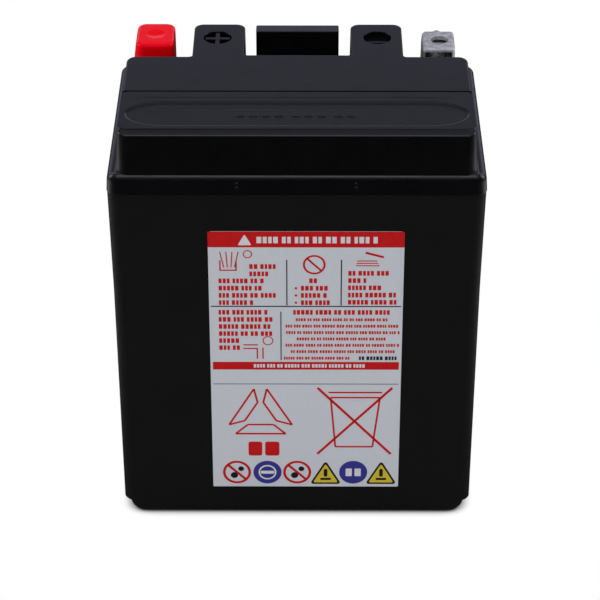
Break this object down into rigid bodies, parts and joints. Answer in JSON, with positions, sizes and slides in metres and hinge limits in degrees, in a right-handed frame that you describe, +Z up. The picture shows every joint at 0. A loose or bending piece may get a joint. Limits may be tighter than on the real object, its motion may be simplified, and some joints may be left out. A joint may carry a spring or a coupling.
{
  "type": "motorcycle battery",
  "caption": "Sealed lead-acid motorcycle battery: black ribless case and stepped lid, sealing strip over the valves, box terminals with bolts, red terminal cap and front label.",
  "frame": {"origin": "centre of the base, on the face the battery stands on", "axes": "+X along the cells from the positive to the negative terminal, +Y from the labelled front to the terminals at the back, +Z up"},
  "size_m": [0.135, 0.0899, 0.166],
  "materials": {
    "case_plastic": "black moulded polypropylene, satin with a fine grain",
    "lid_plastic": "black moulded polypropylene, satin, slightly lighter from above",
    "red_vinyl": "soft dip-moulded vinyl, glossy red",
    "lead": null,
    "grey_lead": null,
    "lead_dioxide": "dark brown lead dioxide paste, matt",
    "plated_steel": "bright nickel-plated steel, lightly satin",
    "rubber": "black synthetic rubber, matt",
    "glass_mat": "white absorbent glass-fibre mat",
    "label_film": null
  },
  "bodies": {
    "battery": {"case": "case_plastic", "lid": "lid_plastic", "label": "label_film", "positive_terminal": "lead", "negative_terminal": "lead", "positive_seal": "rubber", "negative_seal": "rubber", "positive_plates_1": "lead_dioxide", "positive_plates_2": "lead_dioxide", "positive_plates_3": "lead_dioxide", "positive_plates_4": "lead_dioxide", "positive_plates_5": "lead_dioxide", "positive_plates_6": "lead_dioxide", "negative_plates_1": "grey_lead", "negative_plates_2": "grey_lead", "negative_plates_3": "grey_lead", "negative_plates_4": "grey_lead", "negative_plates_5": "grey_lead", "negative_plates_6": "grey_lead", "separator_1": "glass_mat", "separator_2": "glass_mat", "separator_3": "glass_mat", "separator_4": "glass_mat", "separator_5": "glass_mat", "separator_6": "glass_mat", "cell_weld_1": "lead", "cell_weld_2": "lead", "cell_weld_3": "lead", "cell_weld_4": "lead", "cell_weld_5": "lead"},
    "strip": {"vent_strip": "lid_plastic"},
    "red_cap": {"terminal_cap": "red_vinyl"},
    "positive_bolt_body": {"positive_bolt": "plated_steel"},
    "positive_nut_body": {"positive_nut": "plated_steel"},
    "negative_bolt_body": {"negative_bolt": "plated_steel"},
    "negative_nut_body": {"negative_nut": "plated_steel"},
    "valve_1": {"valve_cap_1": "rubber"},
    "valve_2": {"valve_cap_2": "rubber"},
    "valve_3": {"valve_cap_3": "rubber"},
    "valve_4": {"valve_cap_4": "rubber"},
    "valve_5": {"valve_cap_5": "rubber"},
    "valve_6": {"valve_cap_6": "rubber"}
  },
  "joints": [
    {"name": "strip_lift", "type": "slide", "parent": "battery", "child": "strip", "axis": [0, 0, 1], "range_m": [0, 0.018]},
    {"name": "red_cap_lift", "type": "slide", "parent": "battery", "child": "red_cap", "axis": [0, 0, 1], "range_m": [0, 0.022]},
    {"name": "positive_bolt_out", "type": "slide", "parent": "battery", "child": "positive_bolt_body", "axis": [0, 1, 0], "range_m": [0, 0.014]},
    {"name": "positive_nut_out", "type": "slide", "parent": "battery", "child": "positive_nut_body", "axis": [0, -1, 0], "range_m": [0, 0.0075]},
    {"name": "negative_bolt_out", "type": "slide", "parent": "battery", "child": "negative_bolt_body", "axis": [0, 1, 0], "range_m": [0, 0.014]},
    {"name": "negative_nut_out", "type": "slide", "parent": "battery", "child": "negative_nut_body", "axis": [0, -1, 0], "range_m": [0, 0.0075]},
    {"name": "valve_1_lift", "type": "slide", "parent": "battery", "child": "valve_1", "axis": [0, 0, 1], "range_m": [0, 0.0008]},
    {"name": "valve_2_lift", "type": "slide", "parent": "battery", "child": "valve_2", "axis": [0, 0, 1], "range_m": [0, 0.0008]},
    {"name": "valve_3_lift", "type": "slide", "parent": "battery", "child": "valve_3", "axis": [0, 0, 1], "range_m": [0, 0.0008]},
    {"name": "valve_4_lift", "type": "slide", "parent": "battery", "child": "valve_4", "axis": [0, 0, 1], "range_m": [0, 0.0008]},
    {"name": "valve_5_lift", "type": "slide", "parent": "battery", "child": "valve_5", "axis": [0, 0, 1], "range_m": [0, 0.0008]},
    {"name": "valve_6_lift", "type": "slide", "parent": "battery", "child": "valve_6", "axis": [0, 0, 1], "range_m": [0, 0.0008]}
  ]
}
